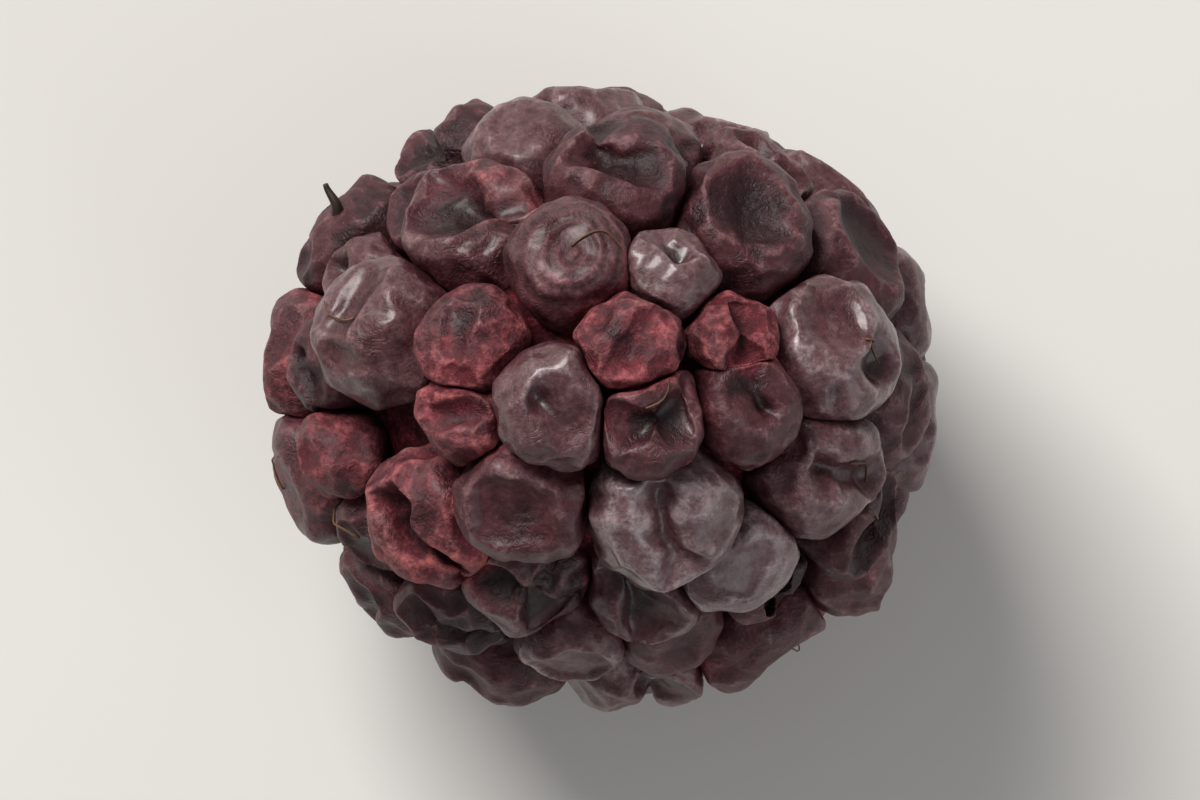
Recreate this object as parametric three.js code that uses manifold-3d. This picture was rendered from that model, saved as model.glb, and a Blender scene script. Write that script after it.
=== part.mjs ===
// A freeze-dried bramble berry, picked, standing on its stem end with its tip up.
// Millimetres, +Z up. The origin is on the surface it rests on, under the middle of the berry.
// The drupelets sit in rows round the receptacle they grow from. Seen from above, the rows near
// the tip keep the bearings of the real berry, and the rows below are evenly spaced and jittered.
import * as THREE from "three";
import { mergeVertices } from "three/addons/utils/BufferGeometryUtils.js";
import Module from "manifold-3d";

// Driving dimensions
const roundness = 0.9; // the berry is slightly flattened from front to back
const heartHeight = 9.4; // the drupelets point away from here
const overlap = 1.13; // how much wider a drupelet is than its share of the row
const widthRange = [2.7, 4.3];
const plumpness = 1.0; // a drupelet's depth against its width
const bedDepth = 0.55; // how far the flesh between the drupelets lies below their centres
const axisPlace = new THREE.Vector2(0.16, 0.22); // the berry's axis, seen from the middle of its outline
const seed = 2406;

// Rows from the tip down: height and distance from the axis of the drupelets' centres.
const rows = [
  { height: 19.4, reach: 1.5, bearings: [67, 193, 325] },
  { height: 18.0, reach: 4.1, bearings: [-4, 26, 63, 103, 158, 190, 234, 295] },
  { height: 15.5, reach: 6.45, bearings: [12, 52, 86, 125, 161, 219, 248, 279, 304, 336] },
  { height: 12.5, reach: 7.75, bearings: [33, 59, 81, 107, 132, 152, 173, 194, 213, 237, 262, 286, 310, 332, 358] },
  { height: 9.3, reach: 8.4, bearings: evenly(14, 18) },
  { height: 6.2, reach: 7.8, bearings: evenly(13, 4) },
  { height: 3.5, reach: 6.3, bearings: evenly(11, 20) },
  { height: 1.35, reach: 4.2, bearings: evenly(8, 10) },
];

// The pale end of the receptacle, at the stem end
const plugRadius = 2.35;
const plugTopRadius = 1.5;
const plugFace = 0.95; // how high the broken face lies above the surface
const plugEdge = 0.35; // how far the face's edge is rounded off
const plugTop = 4.6;
const plugDome = 0.5;
const scarRadius = 0.9;
const scarFloorRadius = 0.55;
const scarDepth = 0.45;
const plugSides = 18;
const plugGap = 0.3;

function evenly(count, first) {
  return Array.from({ length: count }, (_, i) => first + (360 / count) * i);
}

// A repeatable draw from -1 to 1 (a Lehmer generator).
const lehmerFactor = 16807;
const lehmerModulus = 2147483647;
let drawn = seed;
function draw() {
  drawn = (drawn * lehmerFactor) % lehmerModulus;
  return (2 * drawn) / lehmerModulus - 1;
}

// How far the drupelets stray from their places, in degrees, millimetres and shares of their width.
const stray = { bearing: 1.8, height: 0.38, proud: 0.26, width: 0.05, lean: 0.12, oval: 0.09, dimple: 0.09 };
const dimpleDepth = 0.1;

// A drupelet's share of its row is the mean distance to its two neighbours.
function shareOfRow(row, i) {
  const before = i ? row.bearings[i - 1] : row.bearings.at(-1) - 360;
  const after = i + 1 < row.bearings.length ? row.bearings[i + 1] : row.bearings[0] + 360;
  return THREE.MathUtils.degToRad((after - before) / 2) * row.reach * Math.sqrt(roundness);
}

function placeDrupelets() {
  const placed = [];
  for (const row of rows) {
    row.bearings.forEach((bearing, i) => {
      const turn = THREE.MathUtils.degToRad(bearing + stray.bearing * draw());
      const height = row.height + stray.height * draw();
      const proud = stray.proud * draw();
      const wish = overlap * shareOfRow(row, i) * (1 + stray.width * draw());
      const width = THREE.MathUtils.clamp(wish, ...widthRange);
      const centre = new THREE.Vector3(
        row.reach * Math.cos(turn),
        row.reach * Math.sin(turn) * roundness,
        height,
      );
      const outward = centre.clone().sub(new THREE.Vector3(0, 0, heartHeight)).normalize();
      centre.addScaledVector(outward, proud);
      outward.x += stray.lean * draw();
      outward.y += stray.lean * draw();
      placed.push({
        centre,
        outward: outward.normalize(),
        width,
        oval: 1 + stray.oval * draw(),
        twist: Math.PI * draw(),
        dimple: dimpleDepth + stray.dimple * draw(),
      });
    });
  }
  return placed;
}

// One drupelet of width 1: a bead of few sides on a pointed root, its outer end dimpled.
const drupeletSides = 8;
const beadOutline = [[0, -0.5], [0.43, -0.22], [0.5, 0.06], [0.41, 0.31], [0.22, 0.46]];
function drupeletGeometry({ centre, outward, width, oval, twist, dimple }) {
  const outline = [...beadOutline, [0, 0.5 - dimple]].map((point) => new THREE.Vector2(...point));
  const bead = new THREE.LatheGeometry(outline, drupeletSides);
  bead.rotateX(Math.PI / 2); // the outline's axis, +Y, turns to +Z
  bead.scale(width * oval, width / oval, width * plumpness);
  bead.rotateZ(twist);
  const turn = new THREE.Quaternion().setFromUnitVectors(new THREE.Vector3(0, 0, 1), outward);
  bead.applyQuaternion(turn);
  bead.translate(centre.x, centre.y, centre.z);
  return bead;
}

// The flesh that the drupelets stand out of: the rows' own outline, a little smaller.
const fleshSides = 16;
function fleshGeometry() {
  const outline = rows.map(({ height, reach }) => {
    const out = new THREE.Vector2(reach, height - heartHeight).normalize();
    return [reach - bedDepth * out.x, height - bedDepth * out.y];
  });
  const tip = [0, outline[0][1] + bedDepth / 2];
  const foot = [0, outline.at(-1)[1]];
  return turned([foot, ...outline.reverse(), tip], fleshSides);
}

function turned(profile, sides) {
  const points = profile.map((point) => new THREE.Vector2(...point));
  const body = new THREE.LatheGeometry(points, sides);
  body.rotateX(Math.PI / 2); // the profile's axis, +Y, turns to +Z
  body.scale(1, roundness, 1);
  return body;
}

// The receptacle's end: a tapering plug with the stem's scar in its face.
function plugGeometry() {
  return turned(
    [
      [0, plugFace + scarDepth],
      [scarFloorRadius, plugFace + scarDepth],
      [scarRadius, plugFace],
      [plugRadius - plugEdge, plugFace],
      [plugRadius, plugFace + plugEdge],
      [plugTopRadius, plugTop],
      [0, plugTop + plugDome],
    ],
    plugSides,
  );
}

// Its socket in the flesh, open below.
const socketFoot = -1;
function socketGeometry() {
  return turned(
    [
      [0, socketFoot],
      [plugRadius + plugGap, socketFoot],
      [plugRadius + plugGap, plugFace + plugEdge],
      [plugTopRadius + plugGap, plugTop],
      [0, plugTop + plugDome + plugGap],
    ],
    plugSides,
  );
}

// Joining and cutting
const wasm = await Module();
wasm.setup();

function toSolid(geometry) {
  const bare = geometry.clone();
  bare.deleteAttribute("normal");
  bare.deleteAttribute("uv");
  const merged = mergeVertices(bare, 1e-4);
  return new wasm.Manifold(
    new wasm.Mesh({
      numProp: 3,
      vertProperties: merged.getAttribute("position").array,
      triVerts: new Uint32Array(merged.index.array),
    }),
  );
}

function toGeometry(solid) {
  const mesh = solid.getMesh();
  const geometry = new THREE.BufferGeometry();
  geometry.setAttribute("position", new THREE.BufferAttribute(mesh.vertProperties, 3));
  geometry.setIndex(new THREE.BufferAttribute(mesh.triVerts, 1));
  return geometry;
}

// The largest body alone: sealed hollows between the drupelets are filled and loose scraps go.
function outerBody(solid) {
  return solid.decompose().reduce((a, b) => (a.volume() > b.volume() ? a : b));
}

const slabSize = 60;
function belowSurface() {
  const slab = new THREE.BoxGeometry(slabSize, slabSize, slabSize);
  slab.translate(0, 0, -slabSize / 2);
  return toSolid(slab);
}

function fruitSolid() {
  let fruit = toSolid(fleshGeometry());
  for (const drupelet of placeDrupelets()) fruit = fruit.add(toSolid(drupeletGeometry(drupelet)));
  fruit = fruit.subtract(belowSurface()).subtract(toSolid(socketGeometry()));
  return outerBody(fruit);
}

// The two nodes
const skin = new THREE.MeshStandardMaterial({ color: "#3a141d", roughness: 0.6, metalness: 0 });
const pith = new THREE.MeshStandardMaterial({ color: "#b79a72", roughness: 0.9, metalness: 0 });

function node(name, geometry, material) {
  const mesh = new THREE.Mesh(geometry, material);
  mesh.name = name;
  return mesh;
}

const berry = new THREE.Group();
berry.position.set(axisPlace.x, axisPlace.y, 0);
berry.add(node("drupelets", toGeometry(fruitSolid()), skin));
berry.add(node("receptacle", plugGeometry(), pith));

export default berry;
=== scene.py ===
"""A freeze-dried bramble berry, dressed round the frame that holds its plain solids.

The berry stands on its stem end with its tip up. Its drupelets are let collapse as dried skins do,
set where the solids have them, and given a waxy charcoal skin with crimson powder in the creases.
"""
import math
from collections import namedtuple

import bpy
import numpy as np
from bpy.props import FloatProperty, FloatVectorProperty, IntProperty, PointerProperty
from bpy.types import Operator, Panel, PropertyGroup
from mathutils import Matrix, Vector


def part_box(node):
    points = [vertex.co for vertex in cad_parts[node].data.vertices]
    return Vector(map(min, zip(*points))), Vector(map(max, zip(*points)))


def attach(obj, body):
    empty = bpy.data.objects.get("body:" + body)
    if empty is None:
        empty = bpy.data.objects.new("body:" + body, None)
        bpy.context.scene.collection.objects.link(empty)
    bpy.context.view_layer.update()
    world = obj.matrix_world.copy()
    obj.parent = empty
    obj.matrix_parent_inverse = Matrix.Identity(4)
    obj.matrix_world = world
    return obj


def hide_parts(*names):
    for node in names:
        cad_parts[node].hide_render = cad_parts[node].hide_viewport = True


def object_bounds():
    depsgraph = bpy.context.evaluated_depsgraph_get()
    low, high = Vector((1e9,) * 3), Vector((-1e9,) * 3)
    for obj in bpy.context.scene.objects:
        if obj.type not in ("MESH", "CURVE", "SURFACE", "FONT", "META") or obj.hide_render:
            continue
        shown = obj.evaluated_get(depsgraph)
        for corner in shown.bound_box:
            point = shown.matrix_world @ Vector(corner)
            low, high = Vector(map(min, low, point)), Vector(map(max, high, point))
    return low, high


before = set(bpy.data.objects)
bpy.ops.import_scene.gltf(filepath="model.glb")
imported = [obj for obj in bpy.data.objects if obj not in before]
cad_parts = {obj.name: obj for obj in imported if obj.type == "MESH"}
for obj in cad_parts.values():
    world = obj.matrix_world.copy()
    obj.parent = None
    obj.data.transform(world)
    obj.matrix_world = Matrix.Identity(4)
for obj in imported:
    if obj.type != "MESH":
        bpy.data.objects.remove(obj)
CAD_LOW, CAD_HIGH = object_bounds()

bl_info = {
    "name": "Bramble berry",
    "version": (1, 0),
    "blender": (4, 5, 0),
    "location": "3D View > Sidebar > Bramble berry",
    "description": "Makes a freeze-dried bramble berry from its drupelets, flesh, receptacle and styles",
    "category": "Add Mesh",
}

MM = 0.001

# The drupelets' places, as the solids have them

# Rows from the tip down: height and distance from the axis in millimetres, and bearings in degrees.
Row = namedtuple("Row", "height reach bearings")


def evenly(count, first):
    """The bearings of a row that is evenly spaced."""
    return [first + 360 / count * i for i in range(count)]


ROWS = [
    Row(19.4, 1.5, [67, 193, 325]),
    Row(18.0, 4.1, [-4, 26, 63, 103, 158, 190, 234, 295]),
    Row(15.5, 6.45, [12, 52, 86, 125, 161, 219, 248, 279, 304, 336]),
    Row(12.5, 7.75, [33, 59, 81, 107, 132, 152, 173, 194, 213, 237, 262, 286, 310, 332, 358]),
    Row(9.3, 8.4, evenly(14, 18)),
    Row(6.2, 7.8, evenly(13, 4)),
    Row(3.5, 6.3, evenly(11, 20)),
    Row(1.35, 4.2, evenly(8, 10)),
]
AXIS_PLACE = Vector((0.16, 0.22, 0.0))  # the rows' axis, in millimetres
# How far the drupelets stray, in degrees, millimetres and shares of their width.
STRAY = {"bearing": 1.8, "height": 0.38, "proud": 0.26, "width": 0.05, "lean": 0.12, "oval": 0.09}
SEED = 2406

# What each drupelet of the upper rows is like: how its skin has dried, and its colour.
KINDS = [
    "creased pitted faceted".split(),
    "pitted faceted holed ringed ridged creased dimpled lumpy".split(),
    "sunken dented trough dimpled ridged crushed faceted dimpled plump lumpy".split(),
    (
        "dimpled trough ringed plump dented pitted pitted plump "
        "crumpled folded dimpled plump caved faceted ridged"
    ).split(),
]
TINTS = [
    "red pale rosy".split(),
    "mauve red pale rosy red red mauve bright".split(),
    "pale brown dark rosy grey red mauve grey bright grey".split(),
    "dark mauve mauve grey brown rosy dark red brown dark grey brown dark dark brown".split(),
]
# Each colour's redness and bloom
TINT_VALUES = {
    "bright": (0.0, 1.15),
    "pale": (0.06, 0.95),
    "grey": (0.12, 0.75),
    "dark": (0.15, 0.2),
    "brown": (0.38, 0.4),
    "mauve": (0.48, 0.55),
    "rosy": (0.62, 0.6),
    "red": (0.98, 0.5),
}

# The lower rows' drupelets are picked from these.
LOWER_KINDS = (
    "plump faceted dimpled folded dented plump creased trough crumpled puckered ridged"
).split()
LOWER_TINTS = "grey dark brown mauve dark grey rosy brown red".split()

# Where juice has stained several drupelets at once: place and reach in millimetres, and strength.
Stain = namedtuple("Stain", "place reach strength")
STAINS = [
    Stain((-4.0, 1.2, 17.5), 2.2, 0.15),
    Stain((0.8, 1.2, 20.5), 1.7, 0.2),
    Stain((4.8, 1.6, 18.0), 1.6, 0.5),
    Stain((-1.2, 4.4, 18.5), 1.8, 0.2),
    Stain((-4.6, 6.8, 15.5), 1.5, 0.3),
    Stain((-9.2, -2.3, 10.8), 2.6, 0.38),
    Stain((-5.7, -4.3, 15.5), 2.0, 0.15),
    Stain((9.0, 3.0, 12.0), 2.2, 0.35),
    Stain((3.0, -8.5, 8.5), 2.6, 0.35),
    Stain((-6.5, 6.5, 6.5), 2.6, 0.3),
    Stain((8.5, -3.0, 5.0), 2.4, 0.35),
    Stain((0.0, 8.5, 7.5), 2.2, 0.3),
]

# Pieces of the fruit, by the rows that they hold.
PIECE_ROWS = {
    "drupelets_tip": range(0, 3),
    "drupelets_shoulder": range(3, 4),
    "drupelets_middle": range(4, 6),
    "drupelets_foot": range(6, 8),
}


class Draws:
    """A repeatable run of numbers from -1 to 1 (a Lehmer generator)."""

    factor = 16807
    modulus = 2147483647

    def __init__(self, seed):
        self.state = seed

    def __call__(self):
        self.state = self.state * self.factor % self.modulus
        return 2 * self.state / self.modulus - 1

    def pick(self, words):
        """One of several words."""
        return words[int((self() + 1) / 2 * len(words)) % len(words)]


# A drupelet's place is the matrix that puts its pattern there; width and centre are in metres.
Drupelet = namedtuple("Drupelet", "row place width centre outward kind redness bloom")


def turn_and_size(outward, twist, turn, width, oval, form):
    """Turns and scales a pattern: its +Z points outward, and its +X along its row, turned by turn."""
    upright = Vector((0, 0, 1)).rotation_difference(outward).to_matrix()
    along_row = upright.transposed() @ Vector((-outward.y, outward.x, 0))
    turned = Matrix.Rotation(math.atan2(along_row.y, along_row.x) + turn, 3, "Z")
    oval_turn = Matrix.Rotation(twist, 3, "Z")
    aside = width * form.spread
    size = Matrix.Diagonal((aside * oval, aside / oval, width * form.fit))
    return (upright @ oval_turn @ size @ oval_turn.transposed() @ turned).to_4x4()


def share_of_row(row, i, form):
    """A drupelet's share of its row: the mean distance to its two neighbours, in millimetres."""
    last = len(row.bearings) - 1
    before = row.bearings[i - 1] if i else row.bearings[-1] - 360
    after = row.bearings[i + 1] if i < last else row.bearings[0] + 360
    return math.radians((after - before) / 2) * row.reach * math.sqrt(form.roundness)


def place_drupelets(form):
    """Every drupelet in the order of the solids, so that the same draws give the same places."""
    draw = Draws(SEED)
    choose = Draws(SEED + 1)
    placed = []
    for number, row in enumerate(ROWS):
        for i, bearing in enumerate(row.bearings):
            bearing = math.radians(bearing + STRAY["bearing"] * draw())
            height = row.height + STRAY["height"] * draw()
            proud = STRAY["proud"] * draw()
            wish = form.overlap * share_of_row(row, i, form) * (1 + STRAY["width"] * draw())
            width = min(max(wish, form.least_width / MM), form.most_width / MM)
            x = row.reach * math.cos(bearing)
            y = row.reach * math.sin(bearing) * form.roundness
            centre = Vector((x, y, height))
            outward = (centre - Vector((0, 0, form.heart_height / MM))).normalized()
            centre += proud * outward
            outward += Vector((STRAY["lean"] * draw(), STRAY["lean"] * draw(), 0))
            outward.normalize()
            oval = 1 + STRAY["oval"] * draw()
            twist = math.pi * draw()
            draw()  # the depth of the solid's dimple
            if number < len(KINDS):
                kind, tint, turn = KINDS[number][i], TINTS[number][i], 0.0
            else:
                kind, tint, turn = choose.pick(LOWER_KINDS), choose.pick(LOWER_TINTS), math.pi * choose()
            centre = (centre + AXIS_PLACE) * MM
            width *= MM
            place = Matrix.Translation(centre) @ turn_and_size(outward, twist, turn, width, oval, form)
            placed.append(Drupelet(number, place, width, centre, outward, kind, *TINT_VALUES[tint]))
    return placed


# Settings that a user would change


class BerryForm(PropertyGroup):
    """The berry's driving sizes: those of the solids, and how the dried skins fill them."""

    roundness: FloatProperty(
        name="Roundness", description="Depth of the berry against its width", default=0.9
    )
    heart_height: FloatProperty(
        name="Heart height", description="Height of the point that the drupelets point away from",
        default=9.4 * MM, precision=5, subtype="DISTANCE", unit="LENGTH",
    )
    overlap: FloatProperty(
        name="Overlap", description="How much wider a drupelet is than its share of the row", default=1.13
    )
    least_width: FloatProperty(
        name="Least width", description="Width of the smallest drupelets",
        default=2.7 * MM, precision=5, subtype="DISTANCE", unit="LENGTH",
    )
    most_width: FloatProperty(
        name="Greatest width", description="Width of the largest drupelets",
        default=4.3 * MM, precision=5, subtype="DISTANCE", unit="LENGTH",
    )
    fit: FloatProperty(name="Fit", description="Depth of a drupelet against its solid's", default=0.97)
    spread: FloatProperty(
        name="Spread", default=1.12,
        description="Width of a drupelet against its solid's, before its neighbours press it",
    )
    bed_depth: FloatProperty(
        name="Bed depth", description="How far the flesh between the drupelets lies below their centres",
        default=0.55 * MM, precision=5, subtype="DISTANCE", unit="LENGTH",
    )
    styles: IntProperty(
        name="Styles", description="How many dried styles still cling to the skins", default=18
    )


class BerryColours(PropertyGroup):
    """The colours of the dried fruit."""

    dark: FloatVectorProperty(
        name="Dark skin", description="Bare dried skin", default=(0.024, 0.005, 0.0075),
        subtype="COLOR", min=0, max=1,
    )
    brown: FloatVectorProperty(
        name="Brown skin", description="Thinner skin", default=(0.075, 0.02, 0.025),
        subtype="COLOR", min=0, max=1,
    )
    bloom: FloatVectorProperty(
        name="Bloom", description="Greyish waxy bloom", default=(0.135, 0.068, 0.074),
        subtype="COLOR", min=0, max=1,
    )
    # The thickest bloom, and partly a painted highlight laid on the most raised bloomed parts.
    frost_and_highlight: FloatVectorProperty(
        name="Frost", description="The thickest bloom", default=(0.32, 0.265, 0.275),
        subtype="COLOR", min=0, max=1,
    )
    rubbed: FloatVectorProperty(
        name="Rubbed folds", description="Folds rubbed pale", default=(0.28, 0.145, 0.15),
        subtype="COLOR", min=0, max=1,
    )
    rim: FloatVectorProperty(
        name="Red rims", description="Rubbed folds of red skin", default=(0.4, 0.1, 0.08),
        subtype="COLOR", min=0, max=1,
    )
    crimson: FloatVectorProperty(
        name="Crimson", description="Juice dried in the creases", default=(0.13, 0.016, 0.024),
        subtype="COLOR", min=0, max=1,
    )
    powder: FloatVectorProperty(
        name="Powder", description="Dried juice as powder", default=(0.335, 0.085, 0.095),
        subtype="COLOR", min=0, max=1,
    )
    # Near-black crimson: painted shade in the skin's hollows and gaps, and the dark of the pulp's own
    # mottle.
    deep: FloatVectorProperty(
        name="Deep gaps", description="Between the drupelets", default=(0.022, 0.003, 0.005),
        subtype="COLOR", min=0, max=1,
    )
    pith: FloatVectorProperty(
        name="Pith", description="The receptacle's pith", default=(0.55, 0.4, 0.26),
        subtype="COLOR", min=0, max=1,
    )
    style: FloatVectorProperty(
        name="Style", description="A dried style", default=(0.2, 0.085, 0.03),
        subtype="COLOR", min=0, max=1,
    )


class StudioSetup(PropertyGroup):
    """The floor, the lights and the camera."""

    floor: FloatVectorProperty(
        name="Floor", description="Colour of the floor", default=(0.78, 0.76, 0.73),
        subtype="COLOR", min=0, max=1,
    )
    key_power: FloatProperty(
        name="Window light", description="Power of the window light, in watts", default=2.0
    )
    fill_power: FloatProperty(
        name="Fill light", description="Power of the fill light, in watts", default=0.4
    )
    sky: FloatProperty(name="Sky", description="Strength of the light from all round", default=0.24)
    camera_distance: FloatProperty(
        name="Camera distance", description="From the camera to the middle of the berry",
        default=0.45, subtype="DISTANCE", unit="LENGTH",
    )
    view_width: FloatProperty(
        name="View width", description="Width of the picture at the berry",
        default=0.036, precision=4, subtype="DISTANCE", unit="LENGTH",
    )


# Shader nodes


class Wire:
    """A shader socket that takes part in sums."""

    def __init__(self, look, socket):
        self.look = look
        self.socket = socket

    def _sum(self, operation, first, second):
        return self.look.node("ShaderNodeMath", {"operation": operation}, {0: first, 1: second})

    def __add__(self, other):
        return self._sum("ADD", self, other)

    def __sub__(self, other):
        return self._sum("SUBTRACT", self, other)

    def __mul__(self, other):
        return self._sum("MULTIPLY", self, other)

    def __rsub__(self, other):
        return self._sum("SUBTRACT", other, self)

    __radd__ = __add__


class Look:
    """A material, and the few ways in which its nodes are made."""

    def __init__(self, name):
        self.material = bpy.data.materials.new(name)
        self.material.use_nodes = True
        self.tree = self.material.node_tree
        self.tree.nodes.clear()
        self.here = self.node("ShaderNodeTexCoord", {}, {}, "Object")

    def node(self, kind, settings, sockets, output=0):
        """A node of any kind: its settings are set first, then its sockets' values or links."""
        made = self.tree.nodes.new(kind)
        for name, value in settings.items():
            setattr(made, name, value)
        for name, value in sockets.items():
            if isinstance(value, Wire):
                self.tree.links.new(value.socket, made.inputs[name])
            elif made.inputs[name].type == "RGBA":
                made.inputs[name].default_value = (*value, 1.0)
            else:
                made.inputs[name].default_value = value
        return Wire(self, made.outputs[output])

    def attribute(self, name):
        """A value that the mesh holds at each point."""
        return self.node("ShaderNodeAttribute", {"attribute_name": name}, {}, "Fac")

    def noise(self, grain, detail=3.0, roughness=0.55, distortion=0.0):
        """Noise whose blotches are about as wide as grain, in metres."""
        sockets = {"Vector": self.here, "Scale": 1 / grain, "Detail": detail}
        sockets.update({"Roughness": roughness, "Distortion": distortion})
        return self.node("ShaderNodeTexNoise", {}, sockets, "Fac")

    def cells(self, grain):
        """Distance to the middle of the nearest cell, of cells about as wide as grain, in metres."""
        sockets = {"Vector": self.here, "Scale": 1 / grain}
        return self.node("ShaderNodeTexVoronoi", {"feature": "F1"}, sockets, "Distance")

    def sine(self, angle):
        """The sine of a value in radians."""
        return self.node("ShaderNodeMath", {"operation": "SINE"}, {0: angle})

    def step(self, value, low, high):
        """A soft step from 0 at low to 1 at high."""
        sockets = {"Value": value, "From Min": low, "From Max": high, "To Min": 0.0, "To Max": 1.0}
        return self.node("ShaderNodeMapRange", {"interpolation_type": "SMOOTHSTEP"}, sockets, "Result")

    def blend(self, share, first, second):
        """A colour between two others."""
        return self._mix("MIX", share, first, second)

    def shade(self, tone, colour):
        """A colour made lighter or darker by a value round 1."""
        return self._mix("MULTIPLY", 1.0, colour, tone)

    def _mix(self, way, share, first, second):
        settings = {"data_type": "RGBA", "blend_type": way}
        return self.node("ShaderNodeMix", settings, {0: share, 6: first, 7: second}, 2)

    def bump(self, height, depth):
        """A relief of that depth, in metres, for a height from 0 to 1."""
        return self.node("ShaderNodeBump", {}, {"Distance": depth, "Height": height}, "Normal")

    def surface(self, **sockets):
        """Ends the material in a Principled shader, and returns the material."""
        names = [name.replace("_", " ").title().replace("Ior", "IOR") for name in sockets]
        shader = self.node("ShaderNodeBsdfPrincipled", {}, dict(zip(names, sockets.values())))
        output = self.tree.nodes.new("ShaderNodeOutputMaterial")
        self.tree.links.new(shader.socket, output.inputs["Surface"])
        return self.material


def skin_material(colours):
    """Waxy dark skin with a grey bloom, and crimson powder in its creases and hollows, with painted shade
    in its hollows and gaps and a painted highlight on its raised parts.
    """
    look = Look("dried_skin")
    patches = look.noise(2.0 * MM, detail=3.0) - 0.5
    mottle = look.noise(0.6 * MM, detail=6.0, roughness=0.62, distortion=0.5) - 0.5
    grain = look.noise(0.17 * MM, detail=4.0, roughness=0.7) - 0.5
    flecks = look.cells(0.3 * MM)
    names = ("redness", "bloom", "crease", "hollow", "ridge", "height")
    redness, bloomed, crease, hollow, ridge, height = map(look.attribute, names)
    ring = look.sine(look.attribute("rings")) * look.attribute("ringing")

    # Dark skin turns brown, and then grey with bloom, where it stands up: partly the real bloom, and
    # partly painted light on the raised parts and painted shade in the hollows.
    waxy = bloomed * 0.8 + height * 0.4 + patches * 1.2 + ridge * 0.12 + mottle * 0.8 - hollow
    skin = look.blend(look.step(waxy, 0.0, 0.55), colours.dark, colours.brown)
    skin = look.blend(look.step(waxy + grain * 0.5, 0.45, 1.15), skin, colours.bloom)
    # Painted highlight: the palest near-neutral grey on the highest bloomed parts and ridges, partly a
    # real thick bloom.
    skin = look.blend(look.step(waxy + grain * 0.8 + ridge * 0.2, 1.0, 1.6) * 0.6, skin, colours.frost_and_highlight)

    # Juice has dried to powder in the creases, and all over some of the drupelets.
    wish = redness * 0.72 + crease * 0.45 + hollow * 0.25 + patches * 1.2 + mottle * 0.5
    red = look.step(wish, 0.52, 1.05)
    dusted = look.step(mottle + grain * 0.8 + ridge * 0.25, -0.2, 0.35)
    skin = look.blend(red * 0.92, skin, look.blend(dusted, colours.crimson, colours.powder))

    # Sharp folds are rubbed pale, and the skin is finely mottled all over; the tone also darkens the
    # hollows, which is painted shade.
    worn = look.step(ridge + grain * 0.9 + mottle * 0.6, 0.65, 1.35) * (0.42 + red * 0.35)
    skin = look.blend(worn, skin, look.blend(red, colours.rubbed, colours.rim))
    tone = 1.0 + mottle + grain * 1.7 + ring * 0.22 - look.step(hollow, 0.18, 0.55) * 0.55
    skin = look.shade(tone, skin)
    dust = (1 - look.step(flecks, 0.06, 0.18)) * look.step(grain, -0.02, 0.12) * 0.4
    skin = look.blend(dust, skin, colours.rubbed)

    # Painted shade: the skin is darkened to near-black in deep hollows and low between the drupelets.
    skin = look.blend(look.step(hollow + mottle * 0.3, 0.3, 0.65) * 0.7, skin, colours.deep)
    skin = look.blend(look.step(crease * 0.15 - height, 0.0, 0.28) * 0.8, skin, colours.deep)

    # Bloom shines where there is no powder, and fine wrinkles run in some patches.
    gloss = look.step(bloomed + mottle, 0.3, 1.2) * (1 - red)
    lines = look.noise(0.5 * MM, detail=2.0, distortion=1.2) - 0.5
    lines = look.node("ShaderNodeMath", {"operation": "ABSOLUTE"}, {0: lines})
    lines = look.step(lines, 0.0, 0.09) * look.step(red * 0.1 - patches, -0.05, 0.2)
    relief = mottle * 0.45 + grain * (0.55 + red * 0.5) + ring * 0.3 + flecks * red * 0.35 + lines * 0.3
    return look.surface(
        base_color=skin,
        roughness=0.46 + red * 0.3 - gloss * 0.1 + mottle * 0.3 + grain * 0.2,
        specular_ior_level=0.32,
        coat_weight=gloss * 0.75,
        coat_roughness=0.24,
        normal=look.bump(relief, 0.08 * MM),
    )


def pulp_material(colours):
    """The flesh between the drupelets: dark crimson, dry and fibrous."""
    look = Look("dried_pulp")
    mottle = look.noise(0.5 * MM, detail=5.0, roughness=0.65, distortion=0.6)
    grain = look.noise(0.13 * MM, detail=3.0)
    cells = look.cells(0.3 * MM)
    red = look.step(mottle + (grain - 0.5) * 0.5, 0.35, 0.75)
    colour = look.blend(red, colours.deep, colours.crimson)
    colour = look.blend(look.step(grain * mottle, 0.3, 0.45) * 0.4, colour, colours.powder)
    return look.surface(
        base_color=colour,
        roughness=0.78 + (grain - 0.5) * 0.2,
        specular_ior_level=0.1,
        normal=look.bump(mottle * 0.6 + cells * 0.4, 0.12 * MM),
    )


PITH_SHADE = (0.33, 0.19, 0.1)
PITH_STAIN = (0.2, 0.03, 0.035)
SCAR_BROWN = (0.13, 0.06, 0.03)
PORE_BROWN = (0.2, 0.11, 0.06)
FIBRES = 23  # radians of ripple for each radian round the axis


def pith_material(colours):
    """The receptacle's end: pale dry pith, browned at its scar and stained by juice at its edge."""
    look = Look("dried_pith")
    mottle = look.noise(0.6 * MM, detail=5.0, roughness=0.6)
    pores = look.cells(0.22 * MM)
    grain = look.noise(0.09 * MM, detail=3.0)
    around, scar, stain = map(look.attribute, ("around", "scar", "stain"))
    fibres = (look.sine(around * FIBRES + mottle * 9.0) * 0.5 + 0.5) * (1 - scar)
    colour = look.blend(look.step(mottle + fibres * 0.15, 0.42, 0.75), colours.pith, PITH_SHADE)
    colour = look.blend(look.step(stain + (mottle - 0.5) * 1.1, 0.25, 0.8), colour, PITH_STAIN)
    colour = look.blend(look.step(scar + (mottle - 0.5) * 0.9, 0.3, 0.9), colour, SCAR_BROWN)
    colour = look.blend((1 - look.step(pores, 0.05, 0.22)) * 0.5, colour, PORE_BROWN)
    return look.surface(
        base_color=colour,
        roughness=0.86 + (grain - 0.5) * 0.15,
        normal=look.bump(pores * 0.5 + mottle * 0.5 + fibres * 0.3 + grain * 0.2, 0.1 * MM),
    )


STYLE_SHADE = (0.1, 0.035, 0.015)
STYLE_BLACK = (0.008, 0.005, 0.004)


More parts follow.
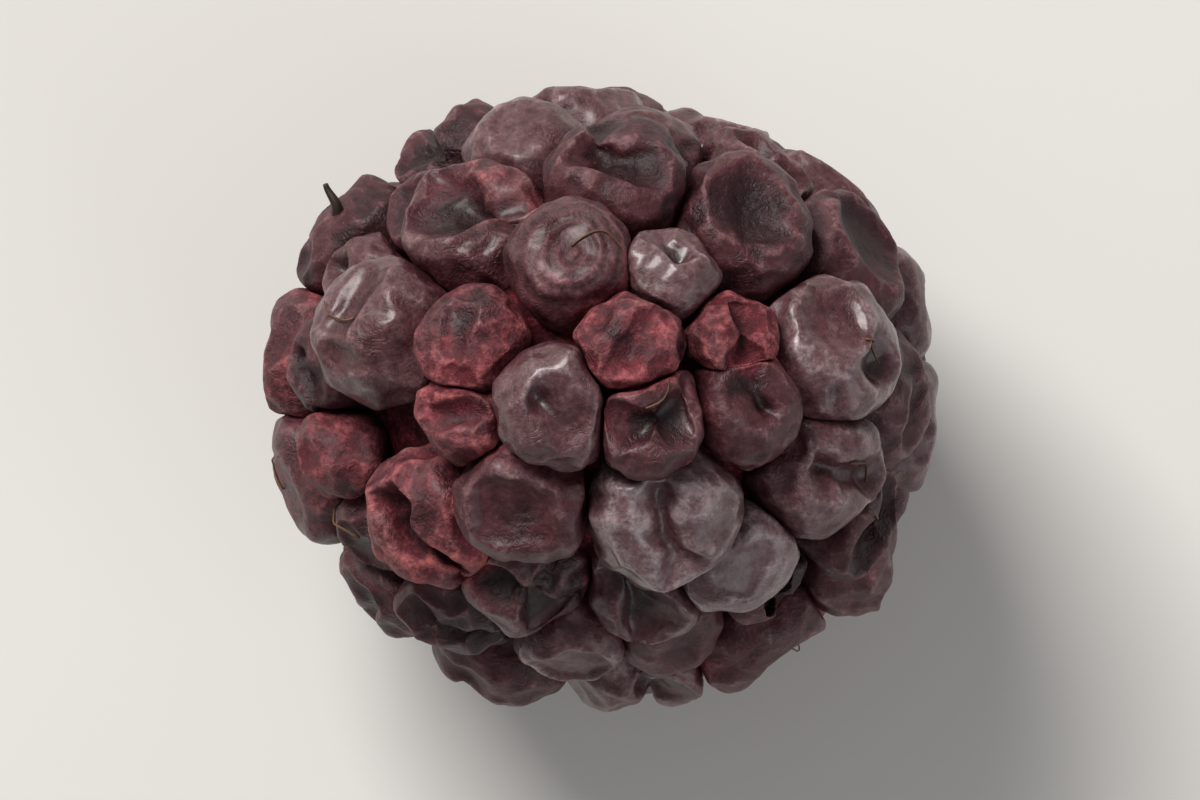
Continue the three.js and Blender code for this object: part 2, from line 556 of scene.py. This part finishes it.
def style_material(colours):
    """A dried style: orange brown, darker in blotches, and blacker the older it is."""
    look = Look("dried_style")
    mottle = look.noise(0.5 * MM, detail=3.0)
    colour = look.blend(look.step(mottle, 0.35, 0.7), colours.style, STYLE_SHADE)
    colour = look.blend(look.attribute("age"), colour, STYLE_BLACK)
    return look.surface(base_color=colour, roughness=0.55 + (mottle - 0.5) * 0.3)


def floor_material(studio):
    """A matt pale floor with a very faint mottle."""
    look = Look("pale_floor")
    mottle = look.noise(30 * MM, detail=2.0)
    darker = [0.97 * value for value in studio.floor]
    return look.surface(
        base_color=look.blend(mottle, studio.floor, darker),
        roughness=0.75 + (mottle - 0.5) * 0.05,
    )


# Ways of shaping a mesh


def select_only(*pieces):
    """Selects these pieces alone, with the first of them active."""
    bpy.ops.object.select_all(action="DESELECT")
    for piece in pieces:
        piece.select_set(True)
    bpy.context.view_layer.objects.active = pieces[0]


def edit_only(piece):
    """Goes into edit mode on one piece with nothing selected in it."""
    select_only(piece)
    bpy.ops.object.mode_set(mode="EDIT")
    bpy.ops.mesh.select_all(action="DESELECT")


def push_in(piece, at, depth, reach):
    """Pushes in the skin nearest to a point, and what lies round it out to the reach."""
    edit_only(piece)
    bpy.ops.object.mode_set(mode="OBJECT")
    nearest = min(piece.data.vertices, key=lambda vertex: (vertex.co - at).length)
    nearest.select = True
    bpy.ops.object.mode_set(mode="EDIT")
    bpy.ops.transform.translate(
        value=at.normalized() * -depth,
        use_proportional_edit=True,
        proportional_edit_falloff="SMOOTH",
        proportional_size=reach,
    )
    bpy.ops.object.mode_set(mode="OBJECT")


def points_of(mesh, what="co"):
    """The mesh's vertices, or their normals, as rows of three numbers."""
    points = np.empty(len(mesh.vertices) * 3)
    mesh.vertices.foreach_get(what, points)
    return points.reshape(-1, 3)


def move_points(mesh, points):
    """Puts the mesh's vertices at these places."""
    mesh.vertices.foreach_set("co", np.asarray(points, np.float32).ravel())
    mesh.update()


def set_values(mesh, name, values):
    """Keeps a value for each vertex, or one for them all, under a name that a material can read."""
    attribute = mesh.attributes.get(name) or mesh.attributes.new(name, "FLOAT", "POINT")
    attribute.data.foreach_set("value", np.broadcast_to(values, len(mesh.vertices)).astype(np.float32))


def get_values(mesh, name):
    """The values that set_values kept."""
    values = np.empty(len(mesh.vertices), np.float32)
    mesh.attributes[name].data.foreach_get("value", values)
    return values


def apply_all(piece):
    """Applies the piece's modifiers from the first to the last."""
    select_only(piece)
    for modifier in list(piece.modifiers):
        bpy.ops.object.modifier_apply(modifier=modifier.name)


def refine(piece, levels):
    """Adds finer faces, each level four for one."""
    finer = piece.modifiers.new("finer", "SUBSURF")
    finer.levels = finer.render_levels = levels


def roughen(piece, name, grain, depth, noise_depth=1):
    """Adds a relief of clouds that are about as wide as grain, in metres."""
    texture = bpy.data.textures.new(name, "CLOUDS")
    texture.noise_scale = grain
    texture.noise_depth = noise_depth
    modifier = piece.modifiers.new(name, "DISPLACE")
    modifier.texture = texture
    modifier.texture_coords = "LOCAL"
    modifier.strength = depth
    modifier.mid_level = 0.5
    return modifier


def sway(piece, name, grain, depth):
    """Shifts neighbouring points alike, aside too, so that straight seams become wavy."""
    modifier = roughen(piece, name, grain, depth)
    modifier.texture.noise_basis = "IMPROVED_PERLIN"
    modifier.texture.cloud_type = "COLOR"
    modifier.direction = "RGB_TO_XYZ"


def smooth_faces(piece):
    """Shades the piece smooth."""
    select_only(piece)
    bpy.ops.object.shade_smooth()


def joined(name, parts):
    """Joins several objects into one piece of that name, at the origin."""
    select_only(*parts)
    bpy.ops.object.join()
    piece = bpy.context.object
    piece.name = name
    piece.data.name = name
    return piece


def copy_of(pattern):
    """A copy of a pattern, with its own mesh."""
    copy = pattern.copy()
    copy.data = pattern.data.copy()
    bpy.context.scene.collection.objects.link(copy)
    return copy


def dress(piece, material, node):
    """Gives a finished piece its material and its body, and hides the solid of the node that it stands
    for.
    """
    piece.data.materials.clear()
    piece.data.materials.append(material)
    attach(piece, "root")
    if node:
        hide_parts(node)


# The drupelets


# A way of drying, on a ball one unit wide. First its dents are pushed in: the place, depth and
# reach of each. Then the skin, with its slack and its stiffness, is sucked in for some frames.
# Last come the share of all this that is kept, and the height that the top is brought to.
Collapse = namedtuple("Collapse", "dents suction slack frames stiffness share top")
COLLAPSES = {
    "plump": Collapse([(0.05, 0.1, 0.49, 0.04, 0.3)], 2.0, 0.03, 12, 0.8, 0.7, 0.5),
    "lumpy": Collapse(
        [(0, 0.2, 0.45, 0.13, 0.2), (0, 0, 0.5, 0.13, 0.2), (0.02, -0.22, 0.45, 0.13, 0.2)],
        1.5, 0.1, 14, 0.3, 0.9, 0.5,
    ),
    "dimpled": Collapse([(0, 0, 0.5, 0.13, 0.36)], 3.0, 0.03, 12, 0.8, 0.8, 0.46),
    "trough": Collapse(
        [(-0.15, 0.03, 0.47, 0.13, 0.22), (0.13, 0, 0.48, 0.15, 0.22)],
        3.0, 0.04, 12, 1.0, 0.85, 0.46,
    ),
    "ridged": Collapse(
        [(-0.2, 0, 0.45, 0.07, 0.2), (0.02, 0, 0.5, 0.06, 0.17), (0.22, 0.05, 0.44, 0.07, 0.2)],
        2.5, 0.1, 14, 0.3, 0.7, 0.48,
    ),
    "dented": Collapse([(0.1, 0.08, 0.48, 0.17, 0.32)], 3.0, 0.03, 11, 2.0, 0.85, 0.47),
    "faceted": Collapse(
        [(-0.2, 0.1, 0.45, 0.07, 0.3), (0.25, -0.1, 0.4, 0.06, 0.28)],
        3.5, 0.02, 12, 1.5, 0.7, 0.48,
    ),
    "crumpled": Collapse([(0.1, 0, 0.49, 0.1, 0.4)], 4.0, 0.06, 12, 1.0, 0.7, 0.47),
    "creased": Collapse(
        [(0, 0.12, 0.49, 0.12, 0.22), (0, -0.12, 0.49, 0.12, 0.22)],
        3.5, 0.04, 11, 1.5, 0.8, 0.47,
    ),
    "folded": Collapse(
        [(0.16, 0, 0.47, 0.1, 0.2), (-0.16, 0, 0.47, 0.1, 0.2)], 3.0, 0.12, 17, 0.4, 0.7, 0.47
    ),
    "puckered": Collapse([(0, 0, 0.5, 0.16, 0.25)], 3.2, 0.02, 9, 0.8, 0.7, 0.46),
    "caved": Collapse([(0, 0.05, 0.5, 0.16, 0.4)], 4.5, 0.04, 10, 2.5, 0.8, 0.45),
    "crushed": Collapse(
        [(-0.22, 0.04, 0.44, 0.2, 0.2), (0, -0.02, 0.5, 0.24, 0.22), (0.22, 0.03, 0.44, 0.2, 0.2)],
        3.0, 0.04, 11, 0.8, 0.95, 0.49,
    ),
    "holed": Collapse(
        [(-0.03, -0.27, 0.42, 0.22, 0.22), (0.1, -0.34, 0.34, 0.1, 0.2)],
        3.0, 0.04, 11, 0.8, 0.9, 0.48,
    ),
    "sunken": Collapse(
        [(-0.2, -0.16, 0.43, 0.22, 0.22), (0.2, 0.1, 0.44, 0.05, 0.3)],
        2.5, 0.03, 11, 1.0, 0.9, 0.48,
    ),
    "pitted": Collapse(
        [(0, 0, 0.5, 0.2, 0.16), (0.2, 0.15, 0.42, 0.08, 0.16)],
        3.0, 0.02, 10, 0.8, 0.9, 0.47,
    ),
    "ringed": Collapse([(0, 0, 0.5, 0.05, 0.3)], 1.0, 0.02, 10, 0.6, 0.6, 0.48),
}
PATTERNS_PER_KIND = 2
BALL_CUTS = 4  # gives a ball of 642 points
BALL_RADIUS = 0.5
UNEVENNESS = 0.006
ROOT_TOP = -0.25  # the skin is held below this height, and less and less over the fade above it
ROOT_FADE = 0.25
ROOT_CUT = -0.3
RING_CENTRE = 0.06  # where the rings' middle lies along +Y


def new_ball(name, seed):
    """A slightly uneven ball one unit wide: a drupelet before it dries."""
    bpy.ops.mesh.primitive_ico_sphere_add(subdivisions=BALL_CUTS, radius=BALL_RADIUS, location=(0, 0, 0))
    ball = bpy.context.object
    ball.name = name
    draw = Draws(seed)
    points = points_of(ball.data)
    points *= 1 + UNEVENNESS * np.array([[draw() + draw()] for _ in points])
    move_points(ball.data, points)
    return ball


def let_collapse(ball, collapse):
    """Sucks the skin in while its root is held, as water leaving the drupelet does."""
    root = ball.vertex_groups.new(name="root")
    for vertex in ball.data.vertices:
        hold = min(max((ROOT_TOP + ROOT_FADE - vertex.co.z) / ROOT_FADE, 0.0), 1.0)
        root.add([vertex.index], hold, "REPLACE")
    cloth = ball.modifiers.new("skin", "CLOTH")
    settings = cloth.settings
    settings.quality = 6
    settings.mass = 0.3
    settings.tension_stiffness = settings.compression_stiffness = 15
    settings.shear_stiffness = 7.5
    settings.bending_stiffness = collapse.stiffness
    settings.tension_damping = settings.compression_damping = settings.shear_damping = 5
    settings.air_damping = 2
    settings.vertex_group_mass = root.name
    settings.shrink_min = -collapse.slack
    settings.use_pressure = True
    settings.uniform_pressure_force = -collapse.suction
    settings.effector_weights.gravity = 0
    cloth.point_cache.frame_start = 1
    cloth.point_cache.frame_end = collapse.frames
    for number in range(1, collapse.frames + 1):
        bpy.context.scene.frame_set(number)
    apply_all(ball)
    bpy.context.scene.frame_set(1)
    ball.vertex_groups.clear()


def cut_root(ball):
    """Cuts off the part of the drupelet that lies inside the flesh, and closes the cut."""
    edit_only(ball)
    bpy.ops.mesh.select_all(action="SELECT")
    bpy.ops.mesh.bisect(plane_co=(0, 0, ROOT_CUT), plane_no=(0, 0, 1), use_fill=True, clear_inner=True)
    bpy.ops.object.mode_set(mode="OBJECT")


def make_pattern(kind, seed):
    """One dried drupelet of a kind, one unit wide, which is then copied to its places."""
    collapse = COLLAPSES[kind]
    ball = new_ball("pattern_" + kind, seed)
    fresh = points_of(ball.data)
    for *at, depth, reach in collapse.dents:
        push_in(ball, Vector(at), depth, reach)
    let_collapse(ball, collapse)

    # Only a share of the collapse is kept, and the width and the top are brought back to size.
    points = fresh + collapse.share * (points_of(ball.data) - fresh)
    low, high = points.min(axis=0), points.max(axis=0)
    points[:, :2] = (points - (low + high) / 2)[:, :2] / (high - low)[:2]
    above = points[:, 2] > 0
    points[above, 2] *= collapse.top / high[2]
    move_points(ball.data, points)
    refine(ball, 1)
    apply_all(ball)
    cut_root(ball)

    points = points_of(ball.data)
    set_values(ball.data, "hollow", np.clip(1 - np.linalg.norm(points, axis=1) / BALL_RADIUS, 0, 1))
    set_values(ball.data, "height", points[:, 2])
    set_values(ball.data, "rings", np.hypot(points[:, 0], points[:, 1] - RING_CENTRE))
    return ball


RING_WIDTH = 0.36 * MM
FAINT_RINGS = 0.25


def place_copy(pattern, drupelet, number):
    """A copy of the pattern at the drupelet's place, with the drupelet's own values."""
    copy = copy_of(pattern)
    mesh = copy.data
    mesh.transform(drupelet.place)
    mesh.update()
    set_values(mesh, "redness", drupelet.redness)
    set_values(mesh, "bloom", drupelet.bloom)
    set_values(mesh, "number", number)
    set_values(mesh, "rings", get_values(mesh, "rings") * drupelet.width * 2 * math.pi / RING_WIDTH)
    set_values(mesh, "ringing", 1.0 if drupelet.kind == "ringed" else FAINT_RINGS)
    return copy


PRESS_GAP = 0.02 * MM
PRESS_ROUNDING = 0.38 * MM


def press_together(copies, drupelets, form):
    """Flattens the drupelets against their neighbours, with a narrow gap between them.

    A wall stands where the two balls would meet. What reaches past it is pressed back to it, and
    what comes close is rounded off.
    """
    for number, (copy, drupelet) in enumerate(zip(copies, drupelets)):
        points = points_of(copy.data)
        centre = np.array(drupelet.centre)
        for other, neighbour in enumerate(drupelets):
            apart = (neighbour.centre - drupelet.centre).length
            if other == number or apart > (drupelet.width + neighbour.width) / 2 * form.spread:
                continue
            toward = (np.array(neighbour.centre) - centre) / apart
            wall = (apart + (drupelet.width**2 - neighbour.width**2) / 4 / apart) / 2 - PRESS_GAP
            reached = (points - centre) @ toward
            share = np.clip(0.5 + 0.5 * (wall - reached) / PRESS_ROUNDING, 0, 1)
            pressed = wall + share * (reached - wall) - PRESS_ROUNDING * share * (1 - share)
            points += np.outer(pressed - reached, toward)
        move_points(copy.data, points)


def mark_stains(piece):
    """Adds the stains to the redness that each drupelet has of its own."""
    points = points_of(piece.data) / MM
    redness = get_values(piece.data, "redness").astype(float)
    for stain in STAINS:
        away = np.linalg.norm(points - np.array(stain.place), axis=1)
        redness += stain.strength * np.exp(-((away / stain.reach) ** 2))
    set_values(piece.data, "redness", redness)


CREASE_WIDTH = 0.28 * MM


def mark_creases(piece, drupelets):
    """Keeps how near each point lies to a neighbouring drupelet, from 0 to 1."""
    points = points_of(piece.data)
    own = get_values(piece.data, "number").round().astype(int)
    nearest = np.full(len(points), 1.0)
    for number, drupelet in enumerate(drupelets):
        away = np.linalg.norm(points - np.array(drupelet.centre), axis=1) - drupelet.width / 2
        away[own == number] = 1.0
        nearest = np.minimum(nearest, away)
    set_values(piece.data, "crease", np.exp(-np.clip(nearest, 0, None) / CREASE_WIDTH))
    piece.data.attributes.remove(piece.data.attributes["number"])


RIDGE_SHARE = 90  # the percentile of the relief that counts as 1
PLAIN_RELIEF = 0.35


def mark_ridges(piece):
    """Keeps how far each point stands out from its neighbours: above 0 on a ridge, below in a fold."""
    mesh = piece.data
    edges = np.empty(len(mesh.edges) * 2, int)
    mesh.edges.foreach_get("vertices", edges)
    first, second = edges.reshape(-1, 2).T

    def sum_round(values):
        """The sum of the values at each point's neighbours."""
        total = np.zeros_like(values)
        np.add.at(total, first, values[second])
        np.add.at(total, second, values[first])
        return total

    points = points_of(mesh)
    count = sum_round(np.ones(len(points)))
    out = ((points - sum_round(points) / count[:, None]) * points_of(mesh, "normal")).sum(1)
    out = (out + sum_round(out) / count) / 2
    spread = np.percentile(np.abs(out), RIDGE_SHARE)
    set_values(mesh, "ridge", np.clip(out / spread - PLAIN_RELIEF, -1, 1))


FOOT_ROUNDING = 0.35 * MM


def keep_inside(piece):
    """Flattens the lowest drupelets on the surface below, and keeps the rest in the solids' box."""
    points = points_of(piece.data)
    share = np.clip(0.5 - 0.5 * points[:, 2] / FOOT_ROUNDING, 0, 1)
    points[:, 2] += -share * points[:, 2] + FOOT_ROUNDING * share * (1 - share)
    move_points(piece.data, np.clip(points, np.array(CAD_LOW), np.array(CAD_HIGH)))


# Grain and depth of the relief that every drupelet gets
SEAM_SWAY = (1.6 * MM, 0.6 * MM)
SKIN_LUMPS = (2.2 * MM, 0.2 * MM)


class BERRY_OT_drupelets(Operator):
    """Let the drupelets collapse and set them in their rows"""

    bl_idname = "berry.drupelets"
    bl_label = "Drupelets"

    def execute(self, context):
        form = context.scene.berry_form
        drupelets = place_drupelets(form)
        patterns = {
            kind: [make_pattern(kind, SEED + 10 * i + n) for n in range(PATTERNS_PER_KIND)]
            for i, kind in enumerate(COLLAPSES)
        }
        copies = [
            place_copy(patterns[drupelet.kind][number % PATTERNS_PER_KIND], drupelet, number)
            for number, drupelet in enumerate(drupelets)
        ]
        press_together(copies, drupelets, form)
        material = skin_material(context.scene.berry_colours)
        for name, rows in PIECE_ROWS.items():
            held = [copy for copy, drupelet in zip(copies, drupelets) if drupelet.row in rows]
            piece = joined(name, held)
            sway(piece, name + "_sway", *SEAM_SWAY)
            roughen(piece, name + "_lumps", *SKIN_LUMPS)
            apply_all(piece)
            keep_inside(piece)
            smooth_faces(piece)
            mark_stains(piece)
            mark_creases(piece, drupelets)
            mark_ridges(piece)
            dress(piece, material, "drupelets")
        for pattern in sum(patterns.values(), []):
            bpy.data.objects.remove(pattern)
        return {"FINISHED"}


# The flesh between the drupelets


def turned_body(name, profile, sides, roundness):
    """A closed body turned from a profile of (radius, height) pairs, bottom first, in metres."""
    radius, height = profile[0]
    place = (0, 0, height)
    bpy.ops.mesh.primitive_circle_add(vertices=sides, radius=radius, fill_type="NGON", location=place)
    body = bpy.context.object
    body.name = name
    bpy.ops.object.mode_set(mode="EDIT")
    bpy.ops.mesh.select_all(action="SELECT")
    for wider, higher in profile[1:]:
        bpy.ops.mesh.extrude_region_move(TRANSFORM_OT_translate={"value": (0, 0, higher - height)})
        share = wider / radius
        bpy.ops.transform.resize(value=(share, share, 1))
        radius, height = wider, higher
    bpy.ops.mesh.select_all(action="SELECT")
    bpy.ops.mesh.normals_make_consistent(inside=False)
    bpy.ops.object.mode_set(mode="OBJECT")
    body.data.transform(Matrix.Diagonal((1, roundness, 1, 1)) @ body.matrix_world)
    body.matrix_world = Matrix.Identity(4)
    body.data.transform(Matrix.Translation(AXIS_PLACE * MM))
    return body


FLESH_SIDES = 40
FLESH_LUMPS = (0.9 * MM, 0.45 * MM)


class BERRY_OT_flesh(Operator):
    """Make the crimson flesh that the drupelets stand out of"""

    bl_idname = "berry.flesh"
    bl_label = "Flesh"

    def execute(self, context):
        form = context.scene.berry_form
        profile = []
        for row in reversed(ROWS):
            reach, height = row.reach * MM, row.height * MM
            out = Vector((reach, height - form.heart_height)).normalized()
            profile.append((reach - form.bed_depth * out.x, height - form.bed_depth * out.y))
        flesh = turned_body("flesh", profile, FLESH_SIDES, form.roundness)
        refine(flesh, 3)
        roughen(flesh, "flesh_lumps", *FLESH_LUMPS, noise_depth=2)
        apply_all(flesh)
        smooth_faces(flesh)
        dress(flesh, pulp_material(context.scene.berry_colours), "drupelets")
        return {"FINISHED"}


# The receptacle's end

# In millimetres, as the solid has them; face and top are heights above the surface.
PLUG = {"radius": 2.35, "top_radius": 1.5, "face": 0.95, "edge": 0.35, "top": 4.6, "dome": 0.5}
SCAR = {"radius": 0.9, "floor": 0.55, "depth": 0.45}
PLUG_SIDES = 36
PITH_LUMPS = (1.2 * MM, 0.3 * MM)
PITH_CRUMBS = (0.35 * MM, 0.12 * MM)
SCAR_EDGE = (1.2, 0.5)  # the radius where the scar's brown ends, and the width over which it fades
STAIN_EDGE = (1.4, 0.9)  # the radius where the stain of juice begins, and the width to its darkest


class BERRY_OT_receptacle(Operator):
    """Make the pale pithy end that the stem has broken from"""

    bl_idname = "berry.receptacle"
    bl_label = "Receptacle"

    def execute(self, context):
        form = context.scene.berry_form
        face, top = PLUG["face"], PLUG["top"]
        outline = [
            (0.2, face + SCAR["depth"]),
            (SCAR["floor"], face + SCAR["depth"]),
            (SCAR["radius"], face + 0.05),
            (SCAR["radius"] + 0.2, face),
            (PLUG["radius"] - PLUG["edge"], face),
            (PLUG["radius"] - 0.05, face + PLUG["edge"]),
            (PLUG["radius"] - 0.2, face + 1.2),
            (PLUG["top_radius"], top),
            (0.2, top + PLUG["dome"]),
        ]
        profile = [(radius * MM, height * MM) for radius, height in outline]
        plug = turned_body("receptacle_end", profile, PLUG_SIDES, form.roundness)
        refine(plug, 2)
        roughen(plug, "pith_lumps", *PITH_LUMPS)
        roughen(plug, "pith_crumbs", *PITH_CRUMBS, noise_depth=3)
        apply_all(plug)
        low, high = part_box("receptacle")
        move_points(plug.data, np.clip(points_of(plug.data), np.array(low), np.array(high)))
        smooth_faces(plug)
        points = points_of(plug.data)
        x, y = points[:, 0] - AXIS_PLACE.x * MM, points[:, 1] - AXIS_PLACE.y * MM
        out = np.hypot(x, y / form.roundness) / MM
        set_values(plug.data, "around", np.abs(np.arctan2(y, x)))
        set_values(plug.data, "scar", np.clip((SCAR_EDGE[0] - out) / SCAR_EDGE[1], 0, 1))
        set_values(plug.data, "stain", np.clip((out - STAIN_EDGE[0]) / STAIN_EDGE[1], 0, 1))
        dress(plug, pith_material(context.scene.berry_colours), "receptacle")
        return {"FINISHED"}


# The dried styles


STYLE_STEPS = 14
STYLE_SIDES = 6
STYLE_THICKNESS = 0.075 * MM
STYLE_BEND = 0.16  # radians a step, at most
STYLE_HUMPS = 1.15  # in a style's length; only the first of them is raised
# The mean and the stray of a style's length and lift, in millimetres, and of its age
STYLE_LENGTH = (2.2, 0.9)
STYLE_LIFT = (0.1, 0.09)
STYLE_AGE = (0.3, 0.3)


def make_style():
    """One dried style, a unit long along +X and a unit thick at its root, tapering to its end."""
    bpy.ops.mesh.primitive_cone_add(
        vertices=STYLE_SIDES, radius1=0.5, radius2=0.2, depth=1,
        location=(0.5, 0, 0), rotation=(0, math.pi / 2, 0),
    )
    style = bpy.context.object
    style.data.transform(style.matrix_world)
    style.matrix_world = Matrix.Identity(4)
    edit_only(style)
    for step in range(1, STYLE_STEPS):
        bpy.ops.mesh.select_all(action="SELECT")
        bpy.ops.mesh.bisect(plane_co=(step / STYLE_STEPS, 0, 0), plane_no=(1, 0, 0))
    bpy.ops.object.mode_set(mode="OBJECT")
    return style


def skin_below(pieces, point):
    """The nearest place on the skins, and the way that the skin faces there."""
    found = [piece.closest_point_on_mesh(point)[1:3] for piece in pieces]
    return min(found, key=lambda hit: (hit[0] - point).length)


# A broken black style that stands up at the rim, as in the photograph: its place and how it leans.
STUB_PLACE = Vector((-7.9, 5.6, 10.8)) * MM
STUB_LEAN = Vector((-0.3, 0.9, 0.25))
STUB_LENGTH = 1.0 * MM
STUB_THICKNESS = 0.42 * MM
STUB_ROOT = 0.1  # how deep it starts below the skin, in millimetres
STUB_SWAY = 0.08  # how far it sways aside, in millimetres
STUB_AGE = 0.9


def stub_path(pieces):
    """The path of the stub, from just under the skin: places and normals, a step apart."""
    foot, facing = skin_below(pieces, STUB_PLACE)
    up = STUB_LEAN.normalized()
    side = up.orthogonal().normalized()
    path = []
    for i in range(STYLE_STEPS + 1):
        share = i / STYLE_STEPS
        aside = side * STUB_SWAY * MM * math.sin(5 * share)
        path.append((foot - facing * STUB_ROOT * MM + up * STUB_LENGTH * share + aside, side))
    return path


def lay_style(pieces, drupelet, length, turn, lift, draw):
    """The path of a style that clings to the skins: places and normals, a step apart."""
    aside = drupelet.outward.orthogonal().normalized()
    heading = Matrix.Rotation(turn, 3, drupelet.outward) @ aside
    here, facing = skin_below(pieces, drupelet.centre + drupelet.outward * drupelet.width * 0.5)
    step = length / STYLE_STEPS
    bend = STYLE_BEND * draw()
    path = []
    for i in range(STYLE_STEPS + 1):
        height = STYLE_THICKNESS / 2 + lift * math.sin(math.pi * min(i / STYLE_STEPS * STYLE_HUMPS, 1.0))
        path.append((here + facing * height, facing))
        heading = Matrix.Rotation(bend, 3, facing) @ heading
        heading = (heading - heading.dot(facing) * facing).normalized()
        below, new_facing = skin_below(pieces, here + heading * step)
        facing = (facing * 2 + new_facing).normalized()
        here = below
    return path


def follow(hair, path, thickness):
    """Bends a style that lies along +X to its path."""
    points = points_of(hair.data)
    steps = np.rint(points[:, 0] * STYLE_STEPS).astype(int)
    moved = np.empty_like(points)
    for step, (place, facing) in enumerate(path):
        along = (path[min(step + 1, STYLE_STEPS)][0] - path[max(step - 1, 0)][0]).normalized()
        across = facing.cross(along).normalized()
        up = along.cross(across)
        ring = steps == step
        moved[ring] = (
            np.array(place)
            + np.outer(points[ring, 1] * thickness, np.array(across))
            + np.outer(points[ring, 2] * thickness, np.array(up))
        )
    move_points(hair.data, moved)


class BERRY_OT_styles(Operator):
    """Lay dried styles on some of the drupelets"""

    bl_idname = "berry.styles"
    bl_label = "Styles"

    def execute(self, context):
        form = context.scene.berry_form
        drupelets = place_drupelets(form)
        draw = Draws(SEED + 7)
        skins = [context.scene.objects[name] for name in PIECE_ROWS]
        pattern = make_style()
        hairs = []
        step = len(drupelets) / form.styles
        for i in range(form.styles):
            drupelet = drupelets[int((i + 0.5) * step) % len(drupelets)]
            hair = copy_of(pattern)
            length = (STYLE_LENGTH[0] + STYLE_LENGTH[1] * draw()) * MM
            turn = math.pi * draw()
            lift = (STYLE_LIFT[0] + STYLE_LIFT[1] * draw()) * MM
            follow(hair, lay_style(skins, drupelet, length, turn, lift, draw), STYLE_THICKNESS)
            set_values(hair.data, "age", STYLE_AGE[0] + STYLE_AGE[1] * draw())
            hairs.append(hair)
        stub = copy_of(pattern)
        follow(stub, stub_path(skins), STUB_THICKNESS)
        set_values(stub.data, "age", STUB_AGE)
        styles = joined("styles", [*hairs, stub])
        bpy.data.objects.remove(pattern)
        keep_inside(styles)
        smooth_faces(styles)
        dress(styles, style_material(context.scene.berry_colours), None)
        return {"FINISHED"}


# The stage

FLOOR_SIZE = 3.0
FLOOR_DROP = 0.02 * MM
# A light's place, from the point under the middle of the berry, and its size are in metres.
Lamp = namedtuple("Lamp", "name place size colour")
WINDOW = Lamp("window", (-0.16, 0.26, 0.3), 0.19, (1.0, 0.98, 0.95))
FILL = Lamp("fill", (0.3, -0.22, 0.2), 0.3, (0.95, 0.97, 1.0))


def add_light(lamp, aim, power):
    """A soft square light that shines on a point."""
    bpy.ops.object.light_add(type="AREA", location=lamp.place)
    light = bpy.context.object
    light.name = lamp.name
    light.rotation_euler = (aim - Vector(lamp.place)).to_track_quat("-Z", "Y").to_euler()
    light.data.size = lamp.size
    light.data.energy = power
    light.data.color = lamp.colour


class BERRY_OT_stage(Operator):
    """Set up the pale floor, the soft lights and the camera"""

    bl_idname = "berry.stage"
    bl_label = "Stage"

    def execute(self, context):
        scene = context.scene
        studio = scene.berry_studio
        bpy.ops.mesh.primitive_plane_add(size=FLOOR_SIZE, location=(0, 0, -FLOOR_DROP))
        floor = context.object
        floor.name = "floor"
        floor.data.materials.append(floor_material(studio))
        middle = (CAD_LOW + CAD_HIGH) / 2
        add_light(WINDOW, middle, studio.key_power)
        add_light(FILL, middle, studio.fill_power)
        world = bpy.data.worlds.new("studio")
        world.use_nodes = True
        background = world.node_tree.nodes["Background"]
        background.inputs["Color"].default_value = (1.0, 1.0, 1.0, 1.0)
        background.inputs["Strength"].default_value = studio.sky
        scene.world = world
        scene.view_settings.view_transform = "Standard"
        above = middle + Vector((0, 0, studio.camera_distance))
        bpy.ops.object.camera_add(location=above, rotation=(0, 0, 0))
        camera = context.object
        camera.data.lens = camera.data.sensor_width * studio.camera_distance / studio.view_width
        camera.data.clip_start = 0.01
        camera.data.clip_end = 10
        scene.camera = camera
        return {"FINISHED"}


class BERRY_PT_panel(Panel):
    """The berry's pieces and the stage, in the order in which they are made"""

    bl_label = "Bramble berry"
    bl_idname = "BERRY_PT_panel"
    bl_space_type = "VIEW_3D"
    bl_region_type = "UI"
    bl_category = "Bramble berry"

    def draw(self, context):
        layout = self.layout
        for group in (context.scene.berry_form, context.scene.berry_colours, context.scene.berry_studio):
            column = layout.column()
            for name in group.__annotations__:
                column.prop(group, name)
        for operator in OPERATORS:
            layout.operator(operator.bl_idname)


GROUPS = {"berry_form": BerryForm, "berry_colours": BerryColours, "berry_studio": StudioSetup}
OPERATORS = [BERRY_OT_drupelets, BERRY_OT_flesh, BERRY_OT_receptacle, BERRY_OT_styles, BERRY_OT_stage]
CLASSES = [*GROUPS.values(), *OPERATORS, BERRY_PT_panel]


def register():
    """Adds the settings, the operators and the panel."""
    for each in CLASSES:
        bpy.utils.register_class(each)
    for name, group in GROUPS.items():
        setattr(bpy.types.Scene, name, PointerProperty(type=group))


def unregister():
    """Takes them away again."""
    for name in GROUPS:
        delattr(bpy.types.Scene, name)
    for each in reversed(CLASSES):
        bpy.utils.unregister_class(each)


def main():
    """Makes every piece and the stage."""
    register()
    bpy.ops.berry.drupelets()
    bpy.ops.berry.flesh()
    bpy.ops.berry.receptacle()
    bpy.ops.berry.styles()
    bpy.ops.berry.stage()


if __name__ == "__main__":
    main()
